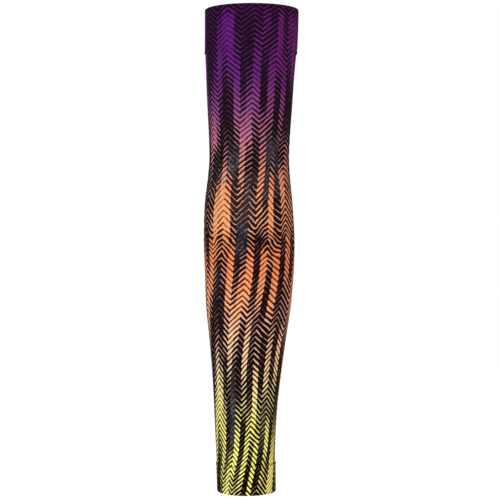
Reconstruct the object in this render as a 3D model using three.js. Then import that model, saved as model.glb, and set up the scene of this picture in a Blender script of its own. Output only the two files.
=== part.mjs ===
// Stretch arm sleeve, shown filled as on a straight arm: one single-layer printed tube
// between two folded hem bands. Millimetres, +Z towards the shoulder, front towards -Y.
// The origin is on the arm's axis, halfway down the upper band.
import * as THREE from "three";

const LENGTH = 420; // rim to rim along the arm
const UPPER_BAND = 38; // height of the folded band on the upper arm
const WRIST_BAND = 25; // height of the folded band at the wrist
const CLOTH = 1.1; // wall of the single layer
const BAND_PROUD = 0.7; // how far the folded bands stand out from the single layer
const SEAM_GAP = 0.3; // clearance between a band's end and the body's end
const FOLD_RADIUS = (CLOTH + BAND_PROUD) / 2; // a band's rim is the cloth turned over on itself
const RING_STEP = 11; // length of cloth between two rings of the tubes
const SIDES = 44; // facets round the arm
const TOP_Z = UPPER_BAND / 2; // height of the upper rim over the origin

// Outline of the single layer on the arm, row by row down from the upper rim.
// drop: distance below the rim; halfWidth: half the outer width seen from the front;
// deep: depth over width; lean: sideways shift of the section; sway: shift towards the back.
const SECTIONS = [
  { drop: 0, halfWidth: 39.2, deep: 0.96, lean: -0.3, sway: -0.6 },
  { drop: 7, halfWidth: 40.0, deep: 0.96, lean: 0.1, sway: -0.3 },
  { drop: 20, halfWidth: 40.0, deep: 0.96, lean: 0.0, sway: 0.0 },
  { drop: 38, halfWidth: 39.6, deep: 0.97, lean: -0.5, sway: 0.5 },
  { drop: 56, halfWidth: 38.6, deep: 0.98, lean: -1.1, sway: 1.1 },
  { drop: 84, halfWidth: 37.1, deep: 0.99, lean: -1.5, sway: 2.1 },
  { drop: 112, halfWidth: 35.4, deep: 1.0, lean: -1.8, sway: 2.9 },
  { drop: 130, halfWidth: 34.9, deep: 1.01, lean: -2.0, sway: 3.2 },
  { drop: 146, halfWidth: 36.0, deep: 1.01, lean: -2.2, sway: 3.2 },
  { drop: 167, halfWidth: 38.3, deep: 0.99, lean: -2.5, sway: 2.8 },
  { drop: 202, halfWidth: 39.7, deep: 0.97, lean: -2.0, sway: 1.7 },
  { drop: 230, halfWidth: 38.8, deep: 0.97, lean: -1.9, sway: 0.9 },
  { drop: 258, halfWidth: 37.1, deep: 0.98, lean: -2.6, sway: 0.3 },
  { drop: 286, halfWidth: 33.6, deep: 0.99, lean: -3.3, sway: 0.0 },
  { drop: 314, halfWidth: 30.5, deep: 1.01, lean: -4.0, sway: 0.0 },
  { drop: 342, halfWidth: 28.0, deep: 1.03, lean: -4.9, sway: 0.0 },
  { drop: 370, halfWidth: 26.4, deep: 1.04, lean: -5.3, sway: 0.0 },
  { drop: 395, halfWidth: 25.4, deep: 1.05, lean: -4.9, sway: 0.0 },
  { drop: 420, halfWidth: 25.0, deep: 1.05, lean: -4.3, sway: 0.0 },
];
const COLUMNS = ["halfWidth", "deep", "lean", "sway"];

// Shallow creases where the knit slackens over the inside of the elbow.
// drop: middle of the crease; reach: half its height; depth: how far it dips;
// facing: the way round it points, in degrees from +X; spread: half its length round the arm.
const CREASES = [
  { drop: 121, reach: 7, depth: 0.7, facing: -95, spread: 75 },
  { drop: 147, reach: 8, depth: 0.6, facing: -70, spread: 65 },
  { drop: 195, reach: 7, depth: 0.8, facing: -90, spread: 80 },
];

const CREASE_RINGS = [-1, -0.5, 0, 0.5, 1]; // rings across a crease, as parts of its reach

const outline = new THREE.CubicInterpolant(
  SECTIONS.map((row) => row.drop),
  SECTIONS.flatMap((row) => COLUMNS.map((column) => row[column])),
  COLUMNS.length,
);

function sectionAt(drop) {
  const [halfWidth, deep, lean, sway] = outline.evaluate(drop);
  return { halfWidth, deep, lean, sway };
}

// Falls from 1 in the middle to 0 at the reach, flat at both ends.
function swell(distance, reach) {
  return 1 - THREE.MathUtils.smoothstep(Math.abs(distance), 0, reach);
}

function creaseDip(drop, angle) {
  return CREASES.reduce((sum, { drop: middle, reach, depth, facing, spread }) => {
    const away = THREE.MathUtils.euclideanModulo(angle - facing + 180, 360) - 180;
    return sum + depth * swell(drop - middle, reach) * swell(away, spread);
  }, 0);
}

// Drops of the rings between two ends: an even spacing, with each crease's middle and edges added.
function ringDrops(from, to) {
  const count = Math.ceil((to - from) / RING_STEP);
  const even = Array.from({ length: count + 1 }, (_, i) => THREE.MathUtils.lerp(from, to, i / count));
  const creased = CREASES.flatMap(({ drop, reach }) => CREASE_RINGS.map((part) => drop + part * reach));
  const inside = creased.filter((drop) => drop > from && drop < to);
  const spaced = even.filter((drop) => inside.every((other) => Math.abs(other - drop) > RING_STEP / 4));
  return [...spaced, ...inside].sort((a, b) => a - b);
}

// The half circle of cloth where a band turns over at its rim, from the outer face to the inner.
function foldedRim(rimDrop, inward) {
  return [0, 45, 90, 135, 180].map((turn) => {
    const angle = THREE.MathUtils.degToRad(turn);
    return {
      drop: rimDrop + inward * FOLD_RADIUS * (1 - Math.sin(angle)),
      inset: (CLOTH - BAND_PROUD) / 2 - FOLD_RADIUS * Math.cos(angle),
    };
  });
}

// A wall turned round the arm's axis, then pressed to the arm's oval sections.
// The profile lists drop and inset below the single layer's outer face, and closes on itself.
function clothTube(profile, color, name) {
  const closed = [...profile, profile[0]];
  const turned = closed.map(({ drop, inset }) => new THREE.Vector2(sectionAt(drop).halfWidth - inset, -drop));
  const geometry = new THREE.LatheGeometry(turned, SIDES);
  const position = geometry.getAttribute("position");
  for (let i = 0; i < position.count; i += 1) {
    const { drop, inset } = closed[i % closed.length];
    const { halfWidth, deep, lean, sway } = sectionAt(drop);
    const angle = Math.atan2(-position.getZ(i), position.getX(i));
    const sunk = inset + creaseDip(drop, THREE.MathUtils.radToDeg(angle));
    position.setXYZ(
      i,
      lean + (halfWidth - sunk) * Math.cos(angle),
      sway + (halfWidth * deep - sunk) * Math.sin(angle),
      TOP_Z - drop,
    );
  }
  geometry.computeVertexNormals();
  const mesh = new THREE.Mesh(geometry, new THREE.MeshStandardMaterial({ color, roughness: 0.8 }));
  mesh.name = name;
  return mesh;
}

function wall(drops, outerInset) {
  const outer = drops.map((drop) => ({ drop, inset: outerInset }));
  const inner = drops.map((drop) => ({ drop, inset: CLOTH }));
  return { outer, inner };
}

function sleeveBody() {
  const from = UPPER_BAND + SEAM_GAP / 2;
  const to = LENGTH - WRIST_BAND - SEAM_GAP / 2;
  const { outer, inner } = wall(ringDrops(from, to), 0);
  return clothTube([...outer.reverse(), ...inner], 0xb9743f, "sleeve_body");
}

function upperBand() {
  const drops = ringDrops(FOLD_RADIUS, UPPER_BAND - SEAM_GAP / 2).slice(1);
  const { outer, inner } = wall(drops, -BAND_PROUD);
  return clothTube([...outer.reverse(), ...foldedRim(0, 1), ...inner], 0x54245f, "upper_band");
}

function wristBand() {
  const drops = ringDrops(LENGTH - WRIST_BAND + SEAM_GAP / 2, LENGTH - FOLD_RADIUS).slice(0, -1);
  const { outer, inner } = wall(drops, -BAND_PROUD);
  const rim = foldedRim(LENGTH, -1).reverse();
  return clothTube([...outer.reverse(), ...inner, ...rim], 0xb8b150, "wrist_band");
}

const sleeve = new THREE.Group();
sleeve.name = "arm_sleeve";
sleeve.add(upperBand(), sleeveBody(), wristBand());

export default sleeve;
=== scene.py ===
# %% [markdown]
# # A printed stretch arm sleeve
#
# The sleeve is a long tube of thin stretch knit that runs from the upper arm to the wrist, with a
# folded hem band at each end. It is shown filled, as it sits on a straight arm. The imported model
# gives the form; this lesson turns its plain walls into cloth, prints the cloth with a herringbone
# that fades from purple through orange to yellow, and sews the seams.

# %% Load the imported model
import math

import bpy
import numpy as np
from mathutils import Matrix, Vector


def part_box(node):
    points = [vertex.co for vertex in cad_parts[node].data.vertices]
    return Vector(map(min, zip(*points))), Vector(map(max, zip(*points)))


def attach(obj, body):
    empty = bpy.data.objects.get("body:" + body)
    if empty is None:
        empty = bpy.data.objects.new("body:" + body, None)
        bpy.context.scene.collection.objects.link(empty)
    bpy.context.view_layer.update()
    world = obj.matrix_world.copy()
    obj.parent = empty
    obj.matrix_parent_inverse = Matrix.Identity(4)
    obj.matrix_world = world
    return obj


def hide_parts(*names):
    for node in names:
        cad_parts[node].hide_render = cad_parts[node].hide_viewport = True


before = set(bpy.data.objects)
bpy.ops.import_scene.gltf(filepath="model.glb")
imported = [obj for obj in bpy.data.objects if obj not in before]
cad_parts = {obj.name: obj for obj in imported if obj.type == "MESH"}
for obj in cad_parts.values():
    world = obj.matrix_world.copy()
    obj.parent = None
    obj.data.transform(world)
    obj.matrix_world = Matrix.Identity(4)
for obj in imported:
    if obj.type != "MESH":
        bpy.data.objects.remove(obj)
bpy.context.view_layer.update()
MM = 0.001
RIM_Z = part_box("upper_band")[1][2]
UPPER_SEAM = (RIM_Z - (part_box("upper_band")[0][2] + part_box("sleeve_body")[1][2]) / 2) / MM
WRIST_SEAM = (RIM_Z - (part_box("wrist_band")[1][2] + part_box("sleeve_body")[0][2]) / 2) / MM
LENGTH = (RIM_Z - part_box("wrist_band")[0][2]) / MM
print(f"rim to rim {LENGTH:.1f} mm, seams {UPPER_SEAM:.1f} and {WRIST_SEAM:.1f} mm below the upper rim")

# %% [markdown]
# ## The camera
#
# The photograph looks straight at the front of the sleeve from a little over a metre away: the upper
# rim bows up and the wrist rim bows down by a few pixels, which fixes both the distance and the
# height of the lens. A long lens at that distance gives the same gentle bow. Places down the sleeve
# are written as a drop in millimetres below the upper rim.

# %% Set up the camera
CAMERA_DISTANCE = 1.224  # metres in front of the middle of the arm
CAMERA_DROP = 196
AIM_DROP = 209.3
AIM_X = -1.3 * MM
LENS_MM = 100.8
SENSOR_MM = 36
aim = Vector((AIM_X, 0, RIM_Z - AIM_DROP * MM))


def add_object(name, data):
    """Puts a mesh, a light or a camera into the scene."""
    thing = bpy.data.objects.new(name, data)
    bpy.context.collection.objects.link(thing)
    return thing


def stand_at(thing, place):
    """Stands a camera or a light at a place and turns it to the sleeve."""
    thing.location = place
    thing.rotation_euler = (aim - thing.location).to_track_quat("-Z", "Y").to_euler()


camera_data = bpy.data.cameras.new("photo_camera")
camera_data.lens = LENS_MM
camera_data.sensor_width = SENSOR_MM
camera = add_object("photo_camera", camera_data)
stand_at(camera, (AIM_X, -CAMERA_DISTANCE, RIM_Z - CAMERA_DROP * MM))
bpy.context.scene.camera = camera
bpy.context.scene.view_settings.view_transform = "Standard"
print(f"camera {CAMERA_DISTANCE} m away, {LENS_MM} mm lens")

# %% [markdown]
# ## Colours and nodes
#
# Every material below is built from the same few helpers. One turns a colour written as sRGB hex into
# the linear numbers that a shader works in. One starts a material and sets what is the same all over
# it on the shader's own sockets. One adds a node with its settings and links.

# %% Helpers for colours and nodes
def linear(hex_colour):
    """An sRGB hex colour as linear red, green, blue and alpha."""
    parts = [int(hex_colour[i : i + 2], 16) / 255 for i in (1, 3, 5)]
    return [p / 12.92 if p <= 0.04045 else ((p + 0.055) / 1.055) ** 2.4 for p in parts] + [1.0]


def start_material(name, finish):
    """A new material and its shader, with the values of finish set on the shader's sockets."""
    material = bpy.data.materials.new(name)
    material.use_nodes = True
    shader = material.node_tree.nodes["Principled BSDF"]
    for socket, value in finish.items():
        shader.inputs[socket].default_value = value
    return material, shader


def add_node(tree, kind, settings=None, *values, take=None, **inputs):
    """Adds a node and gives its first output, or the one that take names.

    Inputs are given in order or by name, with _ for a space. Each is a value or a node's output.
    """
    node = tree.nodes.new("ShaderNode" + kind)
    for key, value in (settings or {}).items():
        setattr(node, key, value)
    sockets = [socket for socket in node.inputs if socket.enabled]
    by_name = {socket.name: socket for socket in sockets}
    given = list(zip(sockets, values))
    given += [(by_name[key.replace("_", " ")], value) for key, value in inputs.items()]
    for socket, value in given:
        if isinstance(value, bpy.types.NodeSocket):
            tree.links.new(value, socket)
        else:
            socket.default_value = value
    if take:
        return node.outputs[take]
    return next(socket for socket in node.outputs if socket.enabled)


print("linear white", linear("#ffffff"))

# %% [markdown]
# ## The studio
#
# The photograph is a packshot on plain white. The floor is a pale disc a little way under the wrist,
# bright enough to run into the white world behind it, and it also throws light back up the sleeve.
# The world is plain white to the camera and dimmer as a light, so that the tube keeps its shading.

# %% Lay the floor and light the world
FLOOR_CLEARANCE = 60  # mm under the wrist
FLOOR_RADIUS = 9.0
FLOOR_SIDES = 64
WORLD_LIGHT = 0.47  # of the white that the camera sees
WHITE = linear("#ffffff")
PAPER_FINISH = {  # uncoated rolled paper: no gloss at all, and lit through so that it has no horizon
    "Base Color": linear("#898989"),
    "Roughness": 1.0,
    "Specular IOR Level": 0.0,
    "Emission Color": WHITE,
    "Emission Strength": 0.9,
}

floor_z = RIM_Z - (LENGTH + FLOOR_CLEARANCE) * MM
floor_ways = np.linspace(0, 2 * math.pi, FLOOR_SIDES, endpoint=False)
floor_edge = [(FLOOR_RADIUS * math.cos(way), FLOOR_RADIUS * math.sin(way), floor_z) for way in floor_ways]
floor_mesh = bpy.data.meshes.new("studio_floor")
floor_mesh.from_pydata(floor_edge, [], [list(range(FLOOR_SIDES))])
floor_mesh.materials.append(start_material("matt_white_paper", PAPER_FINISH)[0])
floor = add_object("studio_floor", floor_mesh)

world = bpy.data.worlds.new("white_studio")
bpy.context.scene.world = world
world.use_nodes = True
sky = world.node_tree
seen = add_node(sky, "LightPath", take="Is Camera Ray")
sky_strength = add_node(sky, "MapRange", Value=seen, To_Min=WORLD_LIGHT, To_Max=1.0)
sky.nodes["Background"].inputs["Color"].default_value = WHITE
sky.links.new(sky_strength, sky.nodes["Background"].inputs["Strength"])
print(f"floor {FLOOR_CLEARANCE} mm under the wrist, world light {WORLD_LIGHT}")

# %% [markdown]
# Two large soft boxes stand in front, the left one stronger. They round the tube off gently towards
# its sides, where a bare lamp would draw a hard streak.

# %% Hang the soft boxes
SOFT_BOXES = [
    {"name": "left_soft_box", "place": (-0.95, -1.25, 0.25), "watts": 10.9, "size": 0.9},
    {"name": "right_soft_box", "place": (1.0, -1.2, 0.05), "watts": 6.7, "size": 0.9},
]
for box in SOFT_BOXES:
    light_data = bpy.data.lights.new(box["name"], "AREA")
    light_data.energy = box["watts"]
    light_data.size = box["size"]
    stand_at(add_object(box["name"], light_data), box["place"])
print(f"{len(SOFT_BOXES)} soft boxes")

# %% [markdown]
# ## The arm inside
#
# A compression sleeve has no form of its own: it takes the form of the arm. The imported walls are
# rings of points, so the skin that the single layer lies on can be read straight from them. Each
# ring is rounded off by adding finer points to its Fourier series, which keeps the shallow creases
# at the elbow.

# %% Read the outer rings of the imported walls
TURNS = 720  # points round a ring once it is rounded off
RIM_CURVE = 1.5  # mm at each rim where the wall is already turning over
RING_TOLERANCE = 0.02  # mm
turn_grid = np.arange(TURNS) * 360 / TURNS


def outward(turn):
    """The way out from the arm at a turn in degrees: 0 faces the front, 90 the right."""
    angle = np.radians(turn)
    return np.stack([np.sin(angle), -np.cos(angle)], axis=-1)


def outer_rings(node, top_drop, bottom_drop):
    """Drops of a packed tube's rings between two drops, and each ring's outer points, finely rounded."""
    points = np.array([v.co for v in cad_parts[node].data.vertices])
    points = np.unique(points.round(6), axis=0)
    drops = (RIM_Z - points[:, 2]) / MM
    levels = [level for level in np.unique(drops.round(2)) if top_drop <= level <= bottom_drop]
    rings = []
    for level in levels:
        ring = points[np.abs(drops - level) < RING_TOLERANCE, :2]
        middle = (ring.max(0) + ring.min(0)) / 2
        half = (ring.max(0) - ring.min(0)) / 2
        x, y = ((ring - middle) / half).T
        sides = len(ring) // 2
        place = np.round(np.arctan2(x, -y) / (2 * math.pi) * sides).astype(int) % sides
        reach = np.hypot(x, y)
        outer = np.array([ring[place == k][np.argmax(reach[place == k])] for k in range(sides)])
        series = np.fft.rfft(outer, axis=0)
        rings.append(np.fft.irfft(series, TURNS, axis=0) * TURNS / sides)
    return np.array(levels), np.array(rings)


upper_drops, upper_rings = outer_rings("upper_band", RIM_CURVE, UPPER_SEAM)
body_drops, body_rings = outer_rings("sleeve_body", UPPER_SEAM, WRIST_SEAM)
wrist_drops, wrist_rings = outer_rings("wrist_band", WRIST_SEAM, LENGTH - RIM_CURVE)
step_at_seam = np.mean((upper_rings[-1] - body_rings[0]) * outward(turn_grid)) * 2
BAND_PROUD = step_at_seam / MM
print(f"{len(body_drops)} rings on the body, bands {BAND_PROUD:.2f} mm proud of it")

# %% [markdown]
# The rings are joined lengthwise with cubic curves. A subdivision modifier would also smooth the
# walls, but it would pull them in and lose the even rows that the print needs.

# %% Join the rings into one smooth skin
PAST_END = 0.5  # share of a gap between rings that the skin may run on past its first and last ring
skin_drops = np.concatenate([upper_drops, body_drops, wrist_drops])
sunk = outward(turn_grid) * step_at_seam
skin_rings = np.concatenate([upper_rings - sunk, body_rings, wrist_rings - sunk])
skin_slopes = np.gradient(skin_rings, skin_drops, axis=0)
skin_middle = skin_rings.mean(axis=1, keepdims=True)
skin_radius = np.linalg.norm(skin_rings - skin_middle, axis=-1).mean(axis=1) / MM


def arm_radius(drop):
    """Mean radius of the arm in mm at a drop."""
    return np.interp(drop, skin_drops, skin_radius)


def skin(drop, turn, out):
    """Points on the arm: drop, turn and out (mm off the skin) are arrays of one row per drop."""
    low = np.clip(np.searchsorted(skin_drops, drop) - 1, 0, len(skin_drops) - 2)
    gap = skin_drops[low + 1] - skin_drops[low]
    t = np.clip((drop - skin_drops[low]) / gap, -PAST_END, 1 + PAST_END)[:, None, None]
    gap = gap[:, None, None]
    rings = (
        (1 + 2 * t) * (1 - t) ** 2 * skin_rings[low]
        + t * (1 - t) ** 2 * gap * skin_slopes[low]
        + t**2 * (3 - 2 * t) * skin_rings[low + 1]
        + t**2 * (t - 1) * gap * skin_slopes[low + 1]
    )
    points = np.empty(turn.shape + (3,))
    for row, ring in enumerate(rings):
        for axis in (0, 1):
            points[row, :, axis] = np.interp(turn[row], turn_grid, ring[:, axis], period=360)
    points[..., :2] += out[..., None] * MM * outward(turn)
    points[..., 2] = (RIM_Z - drop * MM)[:, None]
    return points


print(f"skin from {skin_drops[0]:.1f} to {skin_drops[-1]:.1f} mm below the rim")

# %% [markdown]
# ## The herringbone layout
#
# The print is a herringbone: slanting strokes that turn back at fold lines, so that each stroke
# runs round the sleeve as one long zigzag. The whole panel leans round to the left on its way to the
# wrist, and the arm twists the cloth a few degrees more in some places.

# %% Lean and twist the panel
PANEL_LEAN = [  # drop in mm, and how far the panel has turned there in degrees
    (0, 0), (100, -1), (155, -2.7), (190, -5.2), (231, -9), (250, -12.3), (282, -17.2),
    (299, -20), (340, -22.5), (380, -28), (400, -35.3), (420, -43),
]
TWISTS = [  # down: drop in mm and degrees further round; across: turn at the rim and share of those degrees
    {
        "down": [(125, 0), (165, -5), (195, -4.5), (225, 0)],
        "across": [(4, 0), (14, 0.2), (34.5, 1), (43, 1.25), (51, 0.3), (62, 0.8), (83, 0.6), (120, 0)],
    },
    {
        "down": [(195, 0), (225, -4.1), (250, -4.6), (281, -6.4), (310, -4.4), (345, 0)],
        "across": [(4, 0), (14, 0.2), (34.5, 1), (43, 0.83), (51, 0.35), (62, 0.62), (83, 0.7), (120, 0)],
    },
    {
        "down": [(345, 0), (365, 2.4), (390, 1.8), (410, 0)],
        "across": [(34.5, 0), (51, 1), (62, 1.8), (83, 0.8), (120, 0)],
    },
    {
        "down": [(375, 0), (400, -0.5), (420, -2)],
        "across": [(14, 0), (34.5, 1), (51, 1), (83, 0.6), (120, 0)],
    },
    {
        "down": [
            (105, 0), (125, 2.5), (142, 2.5), (160, 0),
            (290, 0), (315, -2), (335, 0), (358, 1.8), (382, 1.8), (400, 0),
        ],
        "across": [(-4, 0), (4, 1), (14, 1), (24, 1), (34.5, 0)],
    },
    {
        "down": [(35, 0), (60, 3.8), (85, 3.8), (105, 1), (130, 0)],
        "across": [(34.5, 0), (43, 0.7), (51, 1), (62, 1), (83, 0)],
    },
    {
        "down": [(160, 0), (185, 2.2), (205, 2.2), (225, 0), (245, 0.3), (265, 1.2), (285, 0)],
        "across": [(-38, 0), (-30, 0.6), (-21, 1), (-12, 0.6), (-4, 0)],
    },
    {
        "down": [(80, 0), (105, 3), (145, 3), (165, 0), (205, 0), (225, 3), (260, 3), (280, 0)],
        "across": [(-80, 0), (-62, 1), (-46, 1), (-36, 0)],
    },
    {
        "down": [(105, 0), (122, -3), (142, -3), (158, 0)],
        "across": [(43, 0), (51, 1), (60, 1), (67, -1.3), (76, -1.3), (90, 0)],
    },
    {
        "down": [(385, 0), (405, -2), (420, -3.5)],
        "across": [(4, 0), (14, 0.6), (24, 1), (34.5, 0.6), (43, 0)],
    },
    {
        "down": [(305, 0), (325, -2), (350, -2), (370, 0)],
        "across": [(-21, 0), (-12, 0.6), (-2, 1), (4, 0.2), (10, -0.7), (18, 0)],
    },
]
LEAN_BLUR = 12  # mm over which a corner in those tables is rounded off
FINE_STEP = 0.25  # mm
FINE_MARGIN = 60  # mm past each rim
fine_drops = np.arange(-FINE_MARGIN, LENGTH + FINE_MARGIN, FINE_STEP)
blur = np.hanning(int(LEAN_BLUR * 2 / FINE_STEP) + 1)


def eased(drop, places):
    """Degrees at a drop, read from pairs of drop and degrees with the corners rounded off."""
    fine = np.interp(fine_drops, *np.transpose(places))
    fine = np.convolve(np.pad(fine, len(blur) // 2, "edge"), blur / blur.sum(), "valid")
    return np.interp(drop, fine_drops, fine)


def turned(panel_turn, drop):
    """Turns round the arm of places on the panel, one row per drop."""
    turn = panel_turn[None, :] + eased(drop, PANEL_LEAN)[:, None]
    for twist in TWISTS:
        share = np.interp(panel_turn, *np.transpose(twist["across"]))
        turn = turn + eased(drop, twist["down"])[:, None] * share
    return turn


print(f"panel leans {eased(LENGTH, PANEL_LEAN):.0f} degrees by the wrist, with {len(TWISTS)} twists")

# %% [markdown]
# The columns between the fold lines are uneven and narrow with the arm. If the mesh has an edge along
# every fold line, the zigzag can be a number stored on the mesh that grows evenly between two lines,
# and its corners stay sharp. A texture made of waves would need the columns written into its nodes.

# %% Lay out the fold lines and the lanes between them
FOLD_TURNS = [-62, -46, -30, -12, 4, 14, 34.5, 51, 62, 83]  # at the upper rim, a peak first
SIDE_COLUMN = 18  # degrees between fold lines on the sides and back
WIDEST_LANE = 13  # degrees; a wider column is halved into two lanes
LANE_COLUMNS = np.array([0, 0.07, 0.3, 0.5, 0.7, 0.93])  # shares of a lane, crowded at its edges
STROKES_PER_DEGREE = 0.118  # slope of the strokes

before = np.arange(FOLD_TURNS[0] - SIDE_COLUMN, -180 - SIDE_COLUMN, -SIDE_COLUMN)[::-1]
after = np.arange(FOLD_TURNS[-1] + SIDE_COLUMN, 180 + SIDE_COLUMN, SIDE_COLUMN)
folds = np.concatenate([before, FOLD_TURNS, after]).astype(float)
rising = (np.arange(len(folds) - 1) - len(before)) % 2  # 1 where the strokes rise to the next fold line
fold_lifts = np.cumsum(np.concatenate([[0], np.diff(folds) * (2 * rising - 1)])) * STROKES_PER_DEGREE
middles = [(a + b) / 2 for a, b in zip(folds, folds[1:]) if b - a > WIDEST_LANE]
lane_edges = np.unique(np.concatenate([folds, middles, [-180, 180]]))
lane_edges = lane_edges[(lane_edges >= -180) & (lane_edges <= 180)]
lane_turns = (lane_edges[:-1] + lane_edges[1:]) / 2
lane_count = len(lane_turns)
panel_turns = lane_edges[:-1, None] + np.diff(lane_edges)[:, None] * LANE_COLUMNS
panel_turns = np.append(panel_turns.ravel(), lane_edges[-1])
panel_lifts = np.interp(panel_turns, folds, fold_lifts)
print(f"{len(folds)} fold lines, {lane_count} lanes, {len(panel_turns) - 1} columns of faces")

# %% [markdown]
# Along its length the cloth is stretched more over the elbow and the forearm than at the wrist, so
# the strokes lie further apart there. Adding up one over the spacing gives the number of strokes
# from the rim to any place, and the zigzag adds to it from valley to peak.

# %% Space the strokes down the sleeve
STROKE_SPACING = [  # drop and distance from stroke to stroke, both in mm
    (0, 4.15), (60, 4.35), (135, 4.4), (160, 5.3), (180, 5.2), (202, 4.4),
    (245, 4.85), (315, 4.9), (345, 4.45), (380, 4.15), (420, 4.1),
]
spacing = np.interp(fine_drops, *np.transpose(STROKE_SPACING))
strokes_so_far = np.cumsum(1 / spacing) * FINE_STEP


def stroke_number(drop, lift):
    """Strokes from the rim to a drop, plus the lift of the zigzag."""
    return np.interp(drop, fine_drops, strokes_so_far) + lift


stroke_count = strokes_so_far[-1] - strokes_so_far[0]
print(f"{stroke_count:.0f} strokes, {spacing.min():.1f} to {spacing.max():.1f} mm apart")

# %% [markdown]
# The strokes are not all of one weight. Down each narrow lane they swell from hairlines to bars and
# thin out again about every 155 mm, and neighbouring lanes are out of step, so that bold and dark
# streaks interlock like flames all over the sleeve. Each lane of the front has its own row of bold
# places; half-way between two of them the strokes are thinnest. The lanes of the back go on in the
# same way, with places drawn at random.

# %% Choose the bold places of each lane
BOLD_EVERY = 155
FRONT_LANES = [  # bold places of a lane, left to right: drop in mm and share of the cloth covered there
    [(60, 0.5), (222, 0.44), (400, 0.4)],
    [(116, 0.6), (230, 0.5), (410, 0.4)],
    [(110, 0.88), (165, 0.24), (248, 0.78)],
    [(84, 0.58), (220, 0.74), (375, 0.3)],
    [(50, 0.74), (183, 0.89), (364, 0.66)],
    [(18, 0.78), (160, 0.89), (330, 0.75)],
    [(28, 0.78), (184, 0.83), (342, 0.66)],
    [(75, 0.72), (235, 0.8), (375, 0.61)],
    [(-34, 0.4), (119, 0.76), (282, 0.69), (436, 0.64)],
    [(-50, 0.3), (99, 0.74), (258, 0.65), (422, 0.72)],
    [(66, 0.7), (231, 0.78), (388, 0.7)],
    [(8, 0.46), (139, 0.66), (296, 0.64), (440, 0.5)],
    [(70, 0.7), (228, 0.78), (385, 0.6)],
    [(27, 0.8), (173, 0.82), (340, 0.71)],
    [(72, 0.62), (235, 0.74), (397, 0.63)],
    [(16, 0.6), (152, 0.8), (310, 0.57)],
    [(43, 0.84), (138, 0.54), (206, 0.74), (371, 0.72)],
    [(36, 0.42), (172, 0.4), (302, 0.66), (428, 0.39)],
    [(80, 0.5), (240, 0.48), (402, 0.72)],
]
BACK_SHIFT = 25  # mm by which a lane of the back is out of step at most
BACK_SHARES = (0.55, 0.85)  # of the cloth, covered at a bold place of the back
THIN_WEIGHTS = (0.8, 1.15)  # the thin strokes of each lane are this much lighter or heavier

rng = np.random.default_rng(11)
first_front = int(np.argmax(lane_turns > FOLD_TURNS[0] - SIDE_COLUMN))
lane_bolds = []
for lane in range(lane_count):
    step = 0 if lane % 2 == 0 else BOLD_EVERY / 2
    places = np.arange(-1, 4) * BOLD_EVERY + step + rng.uniform(-BACK_SHIFT, BACK_SHIFT)
    lane_bolds.append(list(zip(places, rng.uniform(*BACK_SHARES, len(places)))))
lane_bolds[first_front : first_front + len(FRONT_LANES)] = FRONT_LANES
lane_weight = rng.uniform(*THIN_WEIGHTS, lane_count)
print(f"{lane_count} lanes, {len(FRONT_LANES)} of them on the front")

# %% [markdown]
# Some stretches keep to no rule: a lane thins out early, or carries on past its end. Each is a patch
# that overrides its lane between two drops. The first thins every lane along the upper rim, a painted shade
# where the cloth turns over. At the two creases of the elbow part of each stroke is taken away, a painted
# shade of the creases.

# %% Set how heavily each lane is inked
SWELL_POWER = 1.6  # over 1, the bold stretches are shorter than the thin ones
PATCH_FADE = 9  # mm to either side of a patch's end over which it fades
PATCHES = [  # turns at the rim, drops in mm, and the share of the cloth that the strokes cover
    # every lane along the upper rim: the strokes thinned as a painted shade where the cloth turns over
    (-180, 180, -90, 7, 0.22),
    (24, 34.5, 122, 166, 0.1),
    (43, 51, 122, 170, 0.12),
    (51, 62, 112, 138, 0.24),
    (51, 62, 170, 192, 0.42),
    (62, 72.5, 160, 190, 0.38),
    (62, 72.5, 386, 412, 0.4),
    (-38, -30, 200, 216, 0.42),
    (-30, -21, 208, 238, 0.32),
    (-21, -12, 264, 298, 0.34),
    (-4, 4, 122, 140, 0.24),
    (4, 14, 164, 190, 0.3),
    (4, 14, 192, 214, 0.38),
    (14, 24, 164, 192, 0.42),
    (24, 34.5, 178, 192, 0.36),
    (24, 34.5, 196, 208, 0.18),
    (72.5, 83, 235, 262, 0.3),
    (34.5, 43, 200, 222, 0.4),
    (14, 24, 322, 352, 0.31),
    (14, 24, 92, 118, 0.44),
    (24, 34.5, 268, 304, 0.15),
    (34.5, 43, 268, 304, 0.27),
    (51, 62, 336, 372, 0.2),
    (4, 14, 345, 362, 0.36),
    (62, 72.5, 335, 358, 0.27),
    (62, 72.5, 245, 275, 0.24),
    (43, 51, 335, 362, 0.3),
    (72.5, 83, 330, 352, 0.26),
    (4, 14, 402, 440, 0.38),
    (-4, 4, 318, 378, 0.03),
]
THIN_COVER = [  # drop in mm and the share that the thinnest strokes cover
    (0, 0.18), (45, 0.1), (80, 0.06), (120, 0.05), (146, 0.06),
    (158, 0.16), (180, 0.16), (196, 0.05), (420, 0.05),
]
CREASE_SHADES = [(132, 9, 0.2), (203, 8, 0.24)]  # painted shade of the creases: drop in mm, half the stretch, and the part of each stroke that it takes away


def smooth_step(low, high, value):
    """0 below low, 1 above high, and a smooth rise between them."""
    t = np.clip((value - low) / (high - low), 0, 1)
    return t * t * (3 - 2 * t)


def patched(drop, values, patches):
    """Values by drop and lane, overridden inside each patch, fading over its two ends."""
    for left, right, first, last, share in patches:
        here = (lane_turns > left) & (lane_turns < right)
        begun = smooth_step(first - PATCH_FADE, first + PATCH_FADE, drop)
        ended = smooth_step(last - PATCH_FADE, last + PATCH_FADE, drop)
        values = values + (share - values) * here * begun * (1 - ended)
    return values


def lane_swell(drop, bolds, thin):
    """Share covered down one lane: its bold shares, with thin strokes half-way between them."""
    places, shares = zip(*bolds)
    places = [places[0] - BOLD_EVERY, *places, places[-1] + BOLD_EVERY]
    shares = np.array([shares[0], *shares, shares[-1]])
    phase = np.interp(drop, places, np.arange(len(places)))
    swell = ((1 + np.cos(2 * math.pi * phase)) / 2) ** SWELL_POWER
    return thin + (shares[np.round(phase).astype(int)] - thin) * swell


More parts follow.
